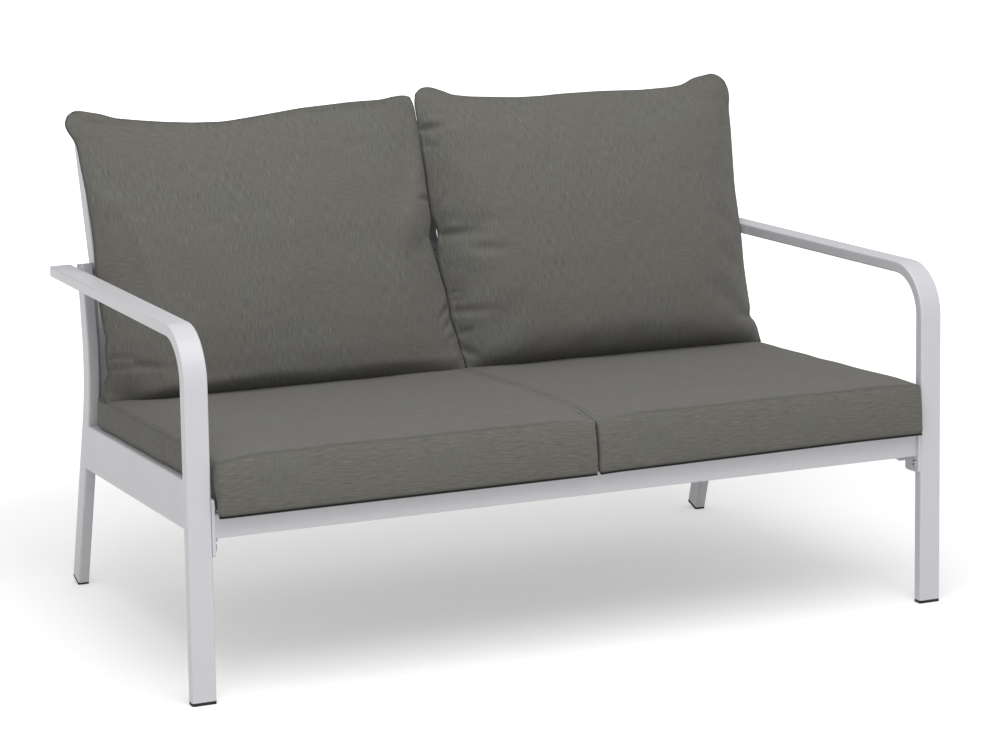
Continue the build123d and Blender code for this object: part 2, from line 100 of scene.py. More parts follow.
# How far a back cushion may cross the line between the seams, and how far its belly sinks onto the seat
SEAM_OVERLAP = 0.4
BELLY_SINK = 15
BELLY_BULGE = 45

# Crown of a seat cushion: share of its depth, share of the full crown
SEAT_CROWN_SHARES = ((0, 0), (0.12, 0.5), (0.3, 0.92), (0.45, 1), (0.62, 0.8), (0.78, 0.4), (0.9, 0.15), (1, 0))

# How far the front edges of the seat cushions hang below the deck: place across, drop
FRONT_DROOP = ((-606, 9.5), (15, 8.5), (40, 7), (300, 4.5), (480, 2.5), (606, 3))

# Back cushions: (rise, place) of the side seams and (place, rise) of the top seam, in mm on the seam plane
LEFT_OUTER = ((-4, -600), (8, -606), (38, -607.5), (43, -605), (48, -599), (54, -603), (66, -605), (80, -606),
    (96, -606), (104, -603), (108, -602), (113, -605), (150, -606), (184, -606), (225, -606), (255, -605),
    (289, -605), (351, -607), (400, -611), (433, -613), (445, -618), (458, -626), (473, -630), (485, -623))
LEFT_INNER = ((-4, 27.5), (14, 24.5), (32, 21), (59, 16.5), (83, 11), (96, 9.5), (121, 9.8), (139, 7.9), (160, 4),
    (183, 0.5), (211, -4), (233, -8), (247, -4), (264, 1), (290, 0.5), (363, 1), (427, 1), (458, 0), (474, -1),
    (486, -6))
LEFT_TOP = ((-623, 485), (-615, 492), (-603, 494), (-586, 490), (-566, 486), (-541, 477), (-498, 471), (-455, 466),
    (-403, 462), (-355, 461), (-331, 463), (-304, 466), (-212, 477), (-118, 483), (-63, 484), (-33, 489),
    (-16, 490), (-6, 486))
RIGHT_OUTER = ((-4, 608), (8, 606), (24, 605), (38, 600), (47, 590), (56, 597), (93, 597), (139, 598), (185, 602),
    (241, 604), (284, 605), (334, 610), (391, 616), (434, 619), (453, 624), (470, 624), (484, 619))
RIGHT_INNER = ((-4, 27), (14, 24), (32, 20.5), (59, 16), (83, 10.5), (96, 9), (121, 9.3), (139, 7.4), (160, 3.5),
    (183, 0.2), (211, 2), (228, 7), (240, 9.5), (255, 6.5), (266, 1.4), (290, 0.9), (363, 1.4), (427, 1.4),
    (458, 0.4), (474, 0.2), (490, 4))
RIGHT_TOP = ((4, 490), (12, 499), (24, 503), (39, 501), (62, 492), (74, 486), (108, 481), (166, 477), (200, 475),
    (244, 475), (283, 477), (363, 478), (444, 476), (505, 478), (530, 481), (555, 493), (574, 496), (596, 500),
    (611, 493), (619, 484))

# How far the left cushion's outer seam lies before or behind the seam plane: rise, reach
LEFT_CURL = ((-4, -40), (22, -52), (37, -57), (43, -34), (48, -20), (59, -17), (75, -12), (95, -5), (112, -2),
    (144, -3), (172, -8), (200, -9), (270, 0))

# Fullness of a back cushion: share of its height, share of the full bulge in front and behind
FRONT_FULL = ((0, 0), (0.02, 0.42), (0.05, 0.66), (0.12, 0.86), (0.22, 0.97), (0.38, 1), (0.55, 0.96), (0.72, 0.8),
    (0.86, 0.56), (0.95, 0.3), (1, 0))
REAR_FULL = ((0, 0), (0.05, 0.5), (0.15, 0.85), (0.5, 1), (0.75, 0.86), (0.9, 0.5), (1, 0))

# Folds pressed into the back cushions' fronts: x, rise, angle, length, width and depth in mm and degrees
LEFT_FOLDS = ((-604, 76, -14, 60, 6, 6), (-604, 58, -12, 60, 7, 8), (-556, 54, -16, 60, 7, 5),
    (-600, 44, -14, 40, 6, 4), (-6, 300, 190, 34, 6, 7), (2, 238, 194, 40, 8, 5), (4, 108, 225, 44, 6, 7),
    (5, 84, 230, 40, 5, 5), (12, 58, 210, 30, 6, 4))
RIGHT_FOLDS = ((4, 427, -6, 52, 8, 11), (6, 396, -20, 34, 7, 5), (10, 236, -8, 84, 9, 11), (58, 200, -9, 90, 11, 4),
    (8, 134, -14, 30, 5, 7), (9, 120, -8, 32, 5, 7), (10, 99, -8, 90, 9, 6), (16, 60, 6, 40, 7, 6),
    (20, 34, -36, 46, 7, 7), (592, 48, 188, 50, 9, 7))

# Zips: how far they end inside a cushion's corners, and the steps of their run
ZIP_MARGIN = 60
ZIP_STEPS = 60

# Fitted camera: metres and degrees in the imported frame, with the photograph's lens
CAMERA_PLACE = (-1.87655, -4.31805, 1.27940)
CAMERA_TURN = (82.165866, 0.833543, -23.942346)
CAMERA_LENS = 102.6
CAMERA_SHIFT = -0.14157

# Share of a side that counts as its edge, and the least seam weight that counts as a seam
EDGE = 1e-4
ON_SEAM = 0.2


def linear(code):
    """Linear colour, with alpha, of an sRGB hex code."""
    channels = [int(code[i:i + 2], 16) / 255 for i in (1, 3, 5)]
    return tuple(c / 12.92 if c <= 0.04045 else ((c + 0.055) / 1.055) ** 2.4 for c in channels) + (1.0,)


def table(rows, place):
    """Value between the rows of a two-column table."""
    if place <= rows[0][0]:
        return rows[0][1]
    for (a, low), (b, high) in zip(rows, rows[1:]):
        if place <= b:
            return low + (high - low) * (place - a) / (b - a)
    return rows[-1][1]


def ease(share):
    """Smooth step from 0 to 1."""
    share = min(1.0, max(0.0, share))
    return share * share * (3 - 2 * share)


def drawing_point(x, y, z):
    """Packed-frame point, in metres, of a point in the drawing's millimetres."""
    return Vector((x, y + DEPTH_SHIFT, z)) * MM


def seat_point(x, deep, high):
    """Point of a seat cushion from its place across, down the deck and above it."""
    return drawing_point(x, SEAT_FRONT + deep * cos(DECK_FALL) + high * sin(DECK_FALL),
                         SEAT_REST - deep * sin(DECK_FALL) + high * cos(DECK_FALL))


def seat_place(point):
    """Place across, down the deck and above it of a packed-frame point."""
    y = point.y / MM - DEPTH_SHIFT - SEAT_FRONT
    z = point.z / MM - SEAT_REST
    return point.x / MM, y * cos(DECK_FALL) - z * sin(DECK_FALL), y * sin(DECK_FALL) + z * cos(DECK_FALL)


def back_point(x, rise, out):
    """Point of a back cushion from its place across, up the seam plane and out of its front."""
    return drawing_point(x, BACK_FOOT_Y + rise * sin(BACK_LEAN) - out * cos(BACK_LEAN),
                         BACK_FOOT_Z + rise * cos(BACK_LEAN) + out * sin(BACK_LEAN))


def back_place(point):
    """Place across, up the seam plane and out of its front of a packed-frame point."""
    y = point.y / MM - DEPTH_SHIFT - BACK_FOOT_Y
    z = point.z / MM - BACK_FOOT_Z
    return point.x / MM, y * sin(BACK_LEAN) + z * cos(BACK_LEAN), z * sin(BACK_LEAN) - y * cos(BACK_LEAN)


def new_piece(name, bm, material, smooth=True):
    """Object at the origin from a bmesh, which is freed."""
    mesh = bpy.data.meshes.new(name)
    bm.to_mesh(mesh)
    bm.free()
    mesh.materials.append(material)
    mesh.shade_smooth() if smooth else mesh.shade_flat()
    piece = bpy.data.objects.new(name, mesh)
    bpy.context.scene.collection.objects.link(piece)
    return piece


# Settings of a Mix node for colours
COLOURS = {"data_type": "RGBA"}


def add_node(tree, kind, settings=None, values=None, links=None):
    """Adds a shader node, named without its prefix, with its settings, socket values and links.

    A link names a socket, or a node for its first output.
    """
    made = tree.nodes.new("ShaderNode" + kind)
    for key, value in (settings or {}).items():
        setattr(made, key, value)
    for key, value in (values or {}).items():
        made.inputs[key].default_value = value
    for key, source in (links or {}).items():
        tree.links.new(source.outputs[0] if hasattr(source, "outputs") else source, made.inputs[key])
    return made


def new_material(name):
    """Empty material with its node tree."""
    material = bpy.data.materials.new(name)
    material.use_nodes = True
    material.node_tree.nodes.clear()
    return material, material.node_tree


def powder_coat():
    """Polyester powder coat baked on aluminium tube.

    Gives the eye a cool white satin skin with a very fine orange peel and a few duller, faintly warmer patches.
    """
    settings = bpy.context.scene.loveseat_frame
    material, tree = new_material("powder_coated_aluminium")
    place = add_node(tree, "TexCoord").outputs["Object"]
    # Orange peel of a baked powder coat has waves of about 1.5 mm
    peel = add_node(tree, "TexNoise", values={"Scale": 1 / (1.5 * MM), "Detail": 2.0}, links={"Vector": place})
    # Handling and sun leave patches about 120 mm across
    patch = add_node(tree, "TexNoise", values={"Scale": 1 / (120 * MM), "Detail": 4.0, "Roughness": 0.6},
            links={"Vector": place})
    # Dust specks baked in, about 14 mm apart
    speck = add_node(tree, "TexVoronoi", values={"Scale": 1 / (14 * MM)}, links={"Vector": place})
    speck_mask = add_node(tree, "MapRange",
            values={"From Min": 0.02, "From Max": 0.05, "To Min": 0.45, "To Max": 0.0}, links={"Value": speck})
    tone = add_node(tree, "Mix", COLOURS, {"A": tuple(settings.paint_colour), "B": linear("#cacacd")},
            {"Factor": patch})
    tone = add_node(tree, "Mix", COLOURS, {"B": linear("#bdbab4")},
            {"Factor": speck_mask, "A": tone.outputs["Result"]})
    gloss = add_node(tree, "MapRange", values={"To Min": 0.36, "To Max": 0.5}, links={"Value": patch})
    bump = add_node(tree, "Bump", values={"Strength": 0.18, "Distance": 0.06 * MM}, links={"Height": peel})
    shader = add_node(tree, "BsdfPrincipled", values={"IOR": 1.5, "Coat Weight": 0.15, "Coat Roughness": 0.25},
            links={"Base Color": tone.outputs["Result"], "Roughness": gloss, "Normal": bump})
    add_node(tree, "OutputMaterial", links={"Surface": shader})
    return material


def moulded_plastic(name, low, high, rough):
    """Injection-moulded polyethylene plug: satin, with a fine spark-eroded grain and scuffs that dull it."""
    material, tree = new_material(name)
    place = add_node(tree, "TexCoord").outputs["Object"]
    # Spark-eroded mould grain of about 0.4 mm
    grain = add_node(tree, "TexNoise", values={"Scale": 1 / (0.4 * MM), "Detail": 3.0}, links={"Vector": place})
    scuff = add_node(tree, "TexNoise", values={"Scale": 1 / (9 * MM), "Detail": 5.0, "Distortion": 0.8},
            links={"Vector": place})
    tone = add_node(tree, "Mix", COLOURS, {"A": linear(low), "B": linear(high)}, {"Factor": scuff})
    gloss = add_node(tree, "MapRange", values={"To Min": rough - 0.1, "To Max": rough + 0.12},
            links={"Value": scuff})
    bump = add_node(tree, "Bump", values={"Strength": 0.25, "Distance": 0.08 * MM}, links={"Height": grain})
    shader = add_node(tree, "BsdfPrincipled", values={"IOR": 1.51},
            links={"Base Color": tone.outputs["Result"], "Roughness": gloss, "Normal": bump})
    add_node(tree, "OutputMaterial", links={"Surface": shader})
    return material


def turned_steel(name, code, rough, scratch):
    """Bolt and nut steel: a metal with fine turning lines round the X axis and a slightly uneven tarnish."""
    material, tree = new_material(name)
    place = add_node(tree, "TexCoord").outputs["Object"]
    # Turning lines about 0.3 mm apart, stretched across the bolt's axis
    spread = add_node(tree, "Mapping", values={"Scale": (1.0, 0.15, 0.15)}, links={"Vector": place})
    lines = add_node(tree, "TexNoise", values={"Scale": 1 / (0.3 * MM), "Detail": 2.0}, links={"Vector": spread})
    cloud = add_node(tree, "TexNoise", values={"Scale": 1 / (5 * MM), "Detail": 3.0}, links={"Vector": place})
    tone = add_node(tree, "Mix", COLOURS, {"A": linear(code), "B": linear(scratch)}, {"Factor": cloud})
    gloss = add_node(tree, "MapRange", values={"To Min": rough, "To Max": rough + 0.2}, links={"Value": cloud})
    bump = add_node(tree, "Bump", values={"Strength": 0.2, "Distance": 0.03 * MM}, links={"Height": lines})
    shader = add_node(tree, "BsdfPrincipled", values={"Metallic": 1.0},
            links={"Base Color": tone.outputs["Result"], "Roughness": gloss, "Normal": bump})
    add_node(tree, "OutputMaterial", links={"Surface": shader})
    return material


def woven_olefin(name, weft_from, weft_to):
    """Solution-dyed olefin woven with slub yarns, as on outdoor cushions.

    Gives the eye a soft dark warm grey with short paler and darker streaks along both threads, a faint nap at
    grazing angles, and colour that drifts a little between greenish and brownish grey. The weft shows where
    the slow drift of the dye lot lies above the first level, and it alone above the second.
    """
    settings = bpy.context.scene.loveseat_cushions
    material, tree = new_material(name)
    cloth = add_node(tree, "UVMap", {"uv_map": "cloth"}).outputs["UV"]
    seam = add_node(tree, "Attribute", {"attribute_name": "seam"}).outputs["Fac"]
    # Slub yarns show as streaks under 2 mm wide and 20 mm long, along the warp and along the weft
    warp_map = add_node(tree, "Mapping", values={"Scale": (1 / (1.9 * MM), 1 / (20 * MM), 1.0)},
            links={"Vector": cloth})
    weft_map = add_node(tree, "Mapping",
            values={"Scale": (1 / (22 * MM), 1 / (1.9 * MM), 1.0), "Location": (7.3, 2.1, 0.0)},
            links={"Vector": cloth})
    warp = add_node(tree, "TexNoise", values={"Scale": 1.0, "Detail": 3.0, "Roughness": 0.6},
            links={"Vector": warp_map})
    weft = add_node(tree, "TexNoise", values={"Scale": 1.0, "Detail": 3.0, "Roughness": 0.6},
            links={"Vector": weft_map})
    # Dye lots drift over about 140 mm, and decide which of the two yarns stands out
    drift = add_node(tree, "TexNoise", values={"Scale": 1 / (140 * MM), "Detail": 3.0}, links={"Vector": cloth})
    choice = add_node(tree, "MapRange", values={"From Min": weft_from, "From Max": weft_to}, links={"Value": drift})
    yarn = add_node(tree, "Mix", {"data_type": "FLOAT"}, links={"Factor": choice, "A": warp, "B": weft})
    streak = add_node(tree, "MapRange", values={"From Min": 0.3, "From Max": 0.72},
            links={"Value": yarn.outputs["Result"]})
    base = add_node(tree, "Mix", COLOURS, {"A": tuple(settings.fabric_shade), "B": tuple(settings.fabric_colour)},
            {"Factor": streak})
    lots = add_node(tree, "Mix", {"data_type": "RGBA", "blend_type": "MULTIPLY"},
            {"Factor": 1.0, "B": linear("#fff6f1")}, {"A": base.outputs["Result"]})
    warm = add_node(tree, "Mix", COLOURS,
            links={"Factor": drift, "A": base.outputs["Result"], "B": lots.outputs["Result"]})
    # Bright single slubs, sparse
    fleck = add_node(tree, "MapRange", values={"From Min": 0.66, "From Max": 0.78, "To Max": 0.5},
            links={"Value": yarn.outputs["Result"]})
    flecked = add_node(tree, "Mix", COLOURS, {"B": tuple(settings.slub_colour)},
            {"Factor": fleck, "A": warm.outputs["Result"]})
    # Seams are painted darker, as painted shade where the cloth sinks into them
    seam_shade_mask = add_node(tree, "MapRange", values={"From Min": 0.5, "From Max": 1.0, "To Max": 0.5},
            links={"Value": seam})
    sewn = add_node(tree, "Mix", COLOURS, {"B": linear("#484743")},
            {"Factor": seam_shade_mask, "A": flecked.outputs["Result"]})
    # The lower front seam of a seat cushion is painted near black, as a painted shadow of its overhang on the rail
    painted_shadow_mask = add_node(tree, "MapRange", values={"From Min": 1.15, "From Max": 1.7, "To Max": 0.96},
            links={"Value": seam})
    with_painted_shadow = add_node(tree, "Mix", COLOURS, {"B": linear("#0b0b0a")},
            {"Factor": painted_shadow_mask, "A": sewn.outputs["Result"]})
    # Plain weave of 1.1 mm yarns
    thread_map = add_node(tree, "Mapping", values={"Scale": (1 / (1.1 * MM), 1 / (1.1 * MM), 1.0)},
            links={"Vector": cloth})
    threads = add_node(tree, "TexChecker",
            values={"Scale": 1.0, "Color1": (1, 1, 1, 1), "Color2": (0.35, 0.35, 0.35, 1)},
            links={"Vector": thread_map})
    weave = add_node(tree, "Bump", values={"Strength": 0.25, "Distance": 0.18 * MM},
            links={"Height": threads.outputs["Fac"]})
    nap = add_node(tree, "Bump", values={"Strength": 0.5, "Distance": 0.5 * MM},
            links={"Height": yarn.outputs["Result"], "Normal": weave})
    shader = add_node(tree, "BsdfPrincipled",
            values={"Roughness": 0.92, "IOR": 1.48, "Specular IOR Level": 0.25, "Sheen Weight": 0.12,
            "Sheen Roughness": 0.45}, links={"Base Color": with_painted_shadow.outputs["Result"], "Normal": nap})
    add_node(tree, "OutputMaterial", links={"Surface": shader})
    return material


def spun_polyester(name, low, high, pitch):
    """Twisted or knitted polyester of thread and zip tape: matt, with a fine diagonal twist."""
    material, tree = new_material(name)
    place = add_node(tree, "TexCoord").outputs["Object"]
    turned = add_node(tree, "Mapping", values={"Rotation": (0.0, radians(35), radians(35))},
            links={"Vector": place})
    twist = add_node(tree, "TexWave", {"wave_type": "BANDS"}, {"Scale": 1 / (pitch * MM) / 6.28, "Distortion": 0.6},
            {"Vector": turned})
    tone = add_node(tree, "Mix", COLOURS, {"A": linear(low), "B": linear(high)}, {"Factor": twist.outputs["Fac"]})
    bump = add_node(tree, "Bump", values={"Strength": 0.4, "Distance": 0.1 * MM},
            links={"Height": twist.outputs["Fac"]})
    shader = add_node(tree, "BsdfPrincipled", values={"Roughness": 0.8, "IOR": 1.55},
            links={"Base Color": tone.outputs["Result"], "Normal": bump})
    add_node(tree, "OutputMaterial", links={"Surface": shader})
    return material


def studio_floor():
    """Matt white paper sweep: reads as plain white, and keeps a soft grey shadow under the seat."""
    material, tree = new_material("white_paper_floor")
    place = add_node(tree, "TexCoord").outputs["Object"]
    fibre = add_node(tree, "TexNoise", values={"Scale": 1 / (40 * MM), "Detail": 2.0}, links={"Vector": place})
    tone = add_node(tree, "Mix", COLOURS, {"A": linear("#e9e9e8"), "B": linear("#ececeb")}, {"Factor": fibre})
    paper = add_node(tree, "BsdfPrincipled", values={"Roughness": 0.9, "IOR": 1.45, "Specular IOR Level": 0.0},
            links={"Base Color": tone.outputs["Result"]})
    rays = add_node(tree, "LightPath")
    seen = add_node(tree, "Math", {"operation": "MAXIMUM"},
            links={0: rays.outputs["Is Camera Ray"], 1: rays.outputs["Is Glossy Ray"]})
    # The sweep turns into plain white a few metres away from the seat
    away = add_node(tree, "VectorMath", {"operation": "LENGTH"}, links={0: place})
    lift = add_node(tree, "MapRange",
            values={"From Min": 1.1, "From Max": 3.2, "To Min": bpy.context.scene.loveseat_stage.floor_lift,
            "To Max": 1.0}, links={"Value": away.outputs["Value"]})
    level = add_node(tree, "Math", {"operation": "MULTIPLY"}, links={0: seen, 1: lift})
    glow = add_node(tree, "Emission", values={"Color": (1, 1, 1, 1)}, links={"Strength": level})
    both = add_node(tree, "AddShader", links={0: paper, 1: glow})
    add_node(tree, "OutputMaterial", links={"Surface": both})
    return material


def once(maker, *details):
    """Material of a maker, made the first time it is asked for."""
    name = maker.__name__ + "".join(str(detail) for detail in details)
    if name not in MADE:
        MADE[name] = maker(*details)
    return MADE[name]


MADE = {}


def inflate(piece, pressure, looseness, bending, frames, pins):
    """Places of a closed cover's vertices after Cloth has swollen it, with the pinned ones held."""
    group = piece.vertex_groups.new(name="held")
    for index, weight in pins:
        group.add([index], weight, "REPLACE")
    modifier = piece.modifiers.new("cover", "CLOTH")
    for key, value in (("quality", 6), ("mass", 0.3), ("air_damping", 2.0), ("tension_stiffness", 30),
                       ("compression_stiffness", 12), ("shear_stiffness", 6), ("bending_stiffness", bending),
                       ("use_pressure", True), ("uniform_pressure_force", pressure), ("shrink_min", -looseness),
                       ("vertex_group_mass", "held"), ("pin_stiffness", 1.0)):
        setattr(modifier.settings, key, value)
    modifier.settings.effector_weights.gravity = 0.0
    modifier.collision_settings.use_collision = False
    modifier.point_cache.frame_start = 1
    modifier.point_cache.frame_end = frames
    scene = bpy.context.scene
    for number in range(1, frames + 1):
        scene.frame_set(number)
    moved = bpy.data.meshes.new_from_object(piece.evaluated_get(bpy.context.evaluated_depsgraph_get()))
    places = [vertex.co.copy() for vertex in moved.vertices]
    bpy.data.meshes.remove(moved)
    piece.modifiers.remove(modifier)
    piece.vertex_groups.remove(group)
    scene.frame_set(1)
    return places


def iron(piece, rounds, free, places=None, cap=0.0):
    """Smooths a cover's free vertices, first moved towards their simulated places by a cap at most."""
    bm = bmesh.new()
    bm.from_mesh(piece.data)
    bm.verts.ensure_lookup_table()
    loose = [bm.verts[index] for index in free]
    for vert in loose if places else ():
        step = places[vert.index] - vert.co
        if step.length > cap:
            step *= cap / step.length
        vert.co += step
    for number in range(rounds):
        bmesh.ops.smooth_vert(bm, verts=loose, factor=0.5, use_axis_x=True, use_axis_y=True, use_axis_z=True)
    bm.to_mesh(piece.data)
    bm.free()


def readings(mesh, name, kind):
    """Values of a mesh attribute, copied."""
    return [copy(getattr(value, kind)) for value in mesh.attributes[name].data]


def hold_seams(bm, seam, share):
    """Creases the edges that run along a seam, so that rounding leaves them where they are."""
    crease = bm.edges.layers.float.get("crease_edge") or bm.edges.layers.float.new("crease_edge")
    for edge in bm.edges:
        if all(vert[seam] > ON_SEAM for vert in edge.verts):
            edge[crease] = share
    return crease


def refine(piece):
    """Divides a cover once, smoothly, in its mesh."""
    modifier = piece.modifiers.new("round", "SUBSURF")
    modifier.levels = 1
    modifier.render_levels = 1
    modifier.boundary_smooth = "PRESERVE_CORNERS"
    finer = bpy.data.meshes.new_from_object(piece.evaluated_get(bpy.context.evaluated_depsgraph_get()))
    old = piece.data
    piece.modifiers.remove(modifier)
    piece.data = finer
    bpy.data.meshes.remove(old)
    finer.name = piece.name
    finer.shade_smooth()


def seat_limit(side, deep, high):
    """How far out a seat cushion may reach beside the rail, the bracket and the armrest."""
    widest = SEAT_WIDEST[side]
    if high > RAIL_CLEAR or deep < LEG_FACE:
        return widest
    narrow = BESIDE_RAIL if deep > BRACKET_END else BESIDE_BRACKET
    return narrow + (widest - narrow) * ease((high - RAIL_CLEAR + RAIL_ROUND) / RAIL_ROUND)


def keep_apart(side, x):
    """Place across that stays on a seat cushion's own side of the split."""
    return min(x, SEAT_SPLIT - SEAT_SPLIT_GAP) if side < 0 else max(x, SEAT_SPLIT + SEAT_SPLIT_GAP)


def seat_shape(side, across, down, up):
    """Point of the sewn block at shares of its width, depth and height."""
    low, high = SEAT_SIDES[side]
    # Share of the width away from the split, where the two cushions press flat against each other
    outer = 1 - across if side < 0 else across
    # Roll of the boxing: the top and bottom seams stand back from the bulge between them
    roll = 8 * up ** 3 + 3 * (1 - up) ** 3
    left = low + (roll * 0.3 if side < 0 else 0.0)
    right = high - (roll * 0.1 if side > 0 else 0.0)
    front, rear = roll * 1.6, SEAT_DEPTH - roll * 0.8
    x = left + across * (right - left)
    deep = front + down * (rear - front)
    # Corners follow an arc: wider on top of the left outside, nearly square elsewhere
    arc = 2 + 4 * up if side < 0 and outer > 0.5 else 2
    core_x = min(max(x, left + arc), right - arc)
    core_d = min(max(deep, front + arc), rear - arc)
    step_x, step_d = x - core_x, deep - core_d
    if step_x and step_d:
        share = max(abs(step_x), abs(step_d)) / sqrt(step_x ** 2 + step_d ** 2)
        x, deep = core_x + step_x * share, core_d + step_d * share
    # The crown runs on over the split and falls only towards the outer side
    middle = (1 - outer ** 4) * (1 - 0.15 * (1 - outer) ** 4)
    crown = bpy.context.scene.loveseat_cushions.seat_crown / MM * table(SEAT_CROWN_SHARES, down)
    # The outer seam of the left cushion is pulled down a little further than the right one's
    rim = (6 if side < 0 else 2) * outer ** 24
    # The front seam dips where the cushions meet, less at the left corner, least at the right one
    near = 1 - ease(deep / 90)
    corner = 4 if side < 0 else 1
    dip = near * (8 * (1 - ease(outer / 0.13)) + corner * (1 - ease((1 - outer) / 0.12)))
    height = up * (SEAT_EDGE - rim - dip + crown * middle)
    if deep < FRONT_LIP:
        height -= (1 - up) ** 2 * table(FRONT_DROOP, x) * (1 - ease(deep / FRONT_LIP)) * 1.1
    limit = seat_limit(side, deep, height)
    if x * side > limit:
        x = side * limit
    return x, deep, height


def sew_seat(side, name):
    """One boxed seat cushion."""
    seam_depth = bpy.context.scene.loveseat_cushions.seam_depth
    bm = bmesh.new()
    bmesh.ops.create_cube(bm, size=1.0)
    bmesh.ops.translate(bm, vec=(0.5, 0.5, 0.5), verts=bm.verts)
    for axis, count in ((0, 58), (1, 64), (2, 8)):
        along = [edge for edge in bm.edges if abs(edge.verts[0].co[axis] - edge.verts[1].co[axis]) > 0.5]
        bmesh.ops.subdivide_edges(bm, edges=along, cuts=count - 1, use_grid_fill=True)
    seam = bm.verts.layers.float.new("seam")
    shares = bm.verts.layers.float_vector.new("shares")
    low, high = SEAT_SIDES[side]
    cloth = bm.loops.layers.uv.new("cloth")
    for face in bm.faces:
        normal = face.normal
        for loop in face.loops:
            x, y, z = loop.vert.co
            across, down, up = x * (high - low) * MM, y * SEAT_DEPTH * MM, z * SEAT_EDGE * MM
            if abs(normal.z) > 0.5:
                loop[cloth].uv = (across, down) if normal.z > 0 else (across, down + 1)
            elif abs(normal.y) > 0.5:
                loop[cloth].uv = (across, up - 0.5)
            else:
                loop[cloth].uv = (down + 2, up + side)
    for vert in bm.verts:
        x, y, z = vert.co
        outside = (x if side < 0 else 1 - x) < EDGE
        split = (1 - x if side < 0 else x) < EDGE
        lengthwise = min(y, 1 - y) < EDGE
        # Bottom seams; the lower front one is weighted 2.6, which gives it the painted black shadow
        if z < EDGE and (outside or split or lengthwise):
            vert[seam] = 2.6 if y < EDGE else 1.0
        elif z > 1 - EDGE and (outside or lengthwise):
            # The front seam sinks least towards the split, where the cloth runs over it
            vert[seam] = 0.95 if outside else 0.55 + 0.35 * ease(abs(x - (1 if side < 0 else 0)) / 0.2)
        elif z > 1 - EDGE and split:
            vert[seam] = SPLIT_WEIGHT
        else:
            vert[seam] = 0.0
        vert[shares] = (x, y, z)
        vert.co = seat_point(*seat_shape(side, x, y, z))
    bmesh.ops.recalc_face_normals(bm, faces=bm.faces)
    crease = hold_seams(bm, seam, 0.6)
    for edge in bm.edges:
        ends = [vert[shares] for vert in edge.verts]
        if all(vert[seam] == SPLIT_WEIGHT for vert in edge.verts):
            edge[crease] = 1.0
        elif all(min(end.x, 1 - end.x) < EDGE and min(end.y, 1 - end.y) < EDGE for end in ends):
            edge[crease] = 0.5
    piece = new_piece(name, bm, once(woven_olefin, "woven_slub_olefin_seat", 0.25, 0.5))
    mesh = piece.data
    seams = readings(mesh, "seam", "value")
    kept = readings(mesh, "shares", "vector")
    # Not simulated: Cloth leaves this cover unmoved, so it is only ironed
    iron(piece, 2, [index for index, share in enumerate(kept) if share.z > EDGE and seams[index] < ON_SEAM])
    for vertex in mesh.vertices:
        x, deep, high = seat_place(vertex.co)
        limit = seat_limit(side, deep, high)
        if x * side > limit:
            x = side * limit
        vertex.co = seat_point(keep_apart(side, x), deep, max(high, 0.0) if deep > LEG_FACE else high)
    refine(piece)
    mesh = piece.data
    seams = readings(mesh, "seam", "value")
    normals = [vertex.normal.copy() for vertex in mesh.vertices]
    for vertex, normal, weight in zip(mesh.vertices, normals, seams):
        x, deep, high = seat_place(vertex.co)
        # Hand-made unevenness of a foam block under loose cloth
        wave = noise.noise(Vector((x * 0.011, deep * 0.013, high * 0.02))) * 1.6 * ease(high / 16)
        vertex.co += normal * (wave * MM - seam_depth * min(weight, 1.0) ** 2)
        x, deep, high = seat_place(vertex.co)
        vertex.co = seat_point(keep_apart(side, x), deep, high)
    mesh.attributes.remove(mesh.attributes["shares"])
    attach(piece, name)
    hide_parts(name.replace("_cushion", "_cover"), name.replace("_cushion", "_filling"))
    return piece


def back_outline(side, across, up):
    """Place across and rise of the seam, and of the cloth between the seams, at shares of a back cushion."""
    outer, inner, top = (LEFT_OUTER, LEFT_INNER, LEFT_TOP) if side < 0 else (RIGHT_OUTER, RIGHT_INNER, RIGHT_TOP)
    left_rows, right_rows = (outer, inner) if side < 0 else (inner, outer)
    left_rise = BACK_LOW_RISE + up * (top[0][1] - BACK_LOW_RISE)
    right_rise = BACK_LOW_RISE + up * (top[-1][1] - BACK_LOW_RISE)
    left, right = table(left_rows, left_rise), table(right_rows, right_rise)
    top_x = top[0][0] + across * (top[-1][0] - top[0][0])
    x = left + across * (right - left)
    x += up * (top_x - (left_rows[-1][1] + across * (right_rows[-1][1] - left_rows[-1][1])))
    return x, BACK_LOW_RISE + up * (table(top, top_x) - BACK_LOW_RISE)


def back_bulge(side, across, up, front):
    """How far a back cushion stands out of its seam plane."""
    settings = bpy.context.scene.loveseat_cushions
    edge = min(across, 1 - across) * 2
    if front:
        width = (1 - (1 - edge) ** 3.2) ** 0.6
        return settings.back_front_bulge / MM * width * table(FRONT_FULL, up)
    width = (1 - (1 - edge) ** 5) ** 0.55
    return -settings.back_rear_bulge / MM * width * table(REAR_FULL, up)


def seam_curl(side, across, up):
    """How far a back cushion's seam lies before or behind the seam plane, near the left arm of the seat."""
    if side > 0:
        return 0.0
    return table(LEFT_CURL, up * BACK_HIGH_RISE) * (1 - ease(across / 0.16))


def hump(share):
    """Bell curve across a fold."""
    return 2.718 ** (-share ** 2)


def press_fold(x, rise, folds):
    """Depth of the folds at one place of a back cushion's front."""
    total = 0.0
    for start_x, start_rise, turn, length, width, depth in folds:
        way = Vector((cos(radians(turn)), sin(radians(turn))))
        step = Vector((x - start_x, rise - start_rise))
        along = step.dot(way)
        across = step.x * way.y - step.y * way.x
        if -20 < along < length and abs(across) < 4 * width:
            fade = ease(1 - along / length) * ease((along + 20) / 20)
            # A fold sinks on its line and stands up a little on both sides
            share = across / width
            total += depth * fade * ((1.35 - 0.7 * share ** 2) * hump(share) - 0.15 * hump(share / 2.2))
    return total


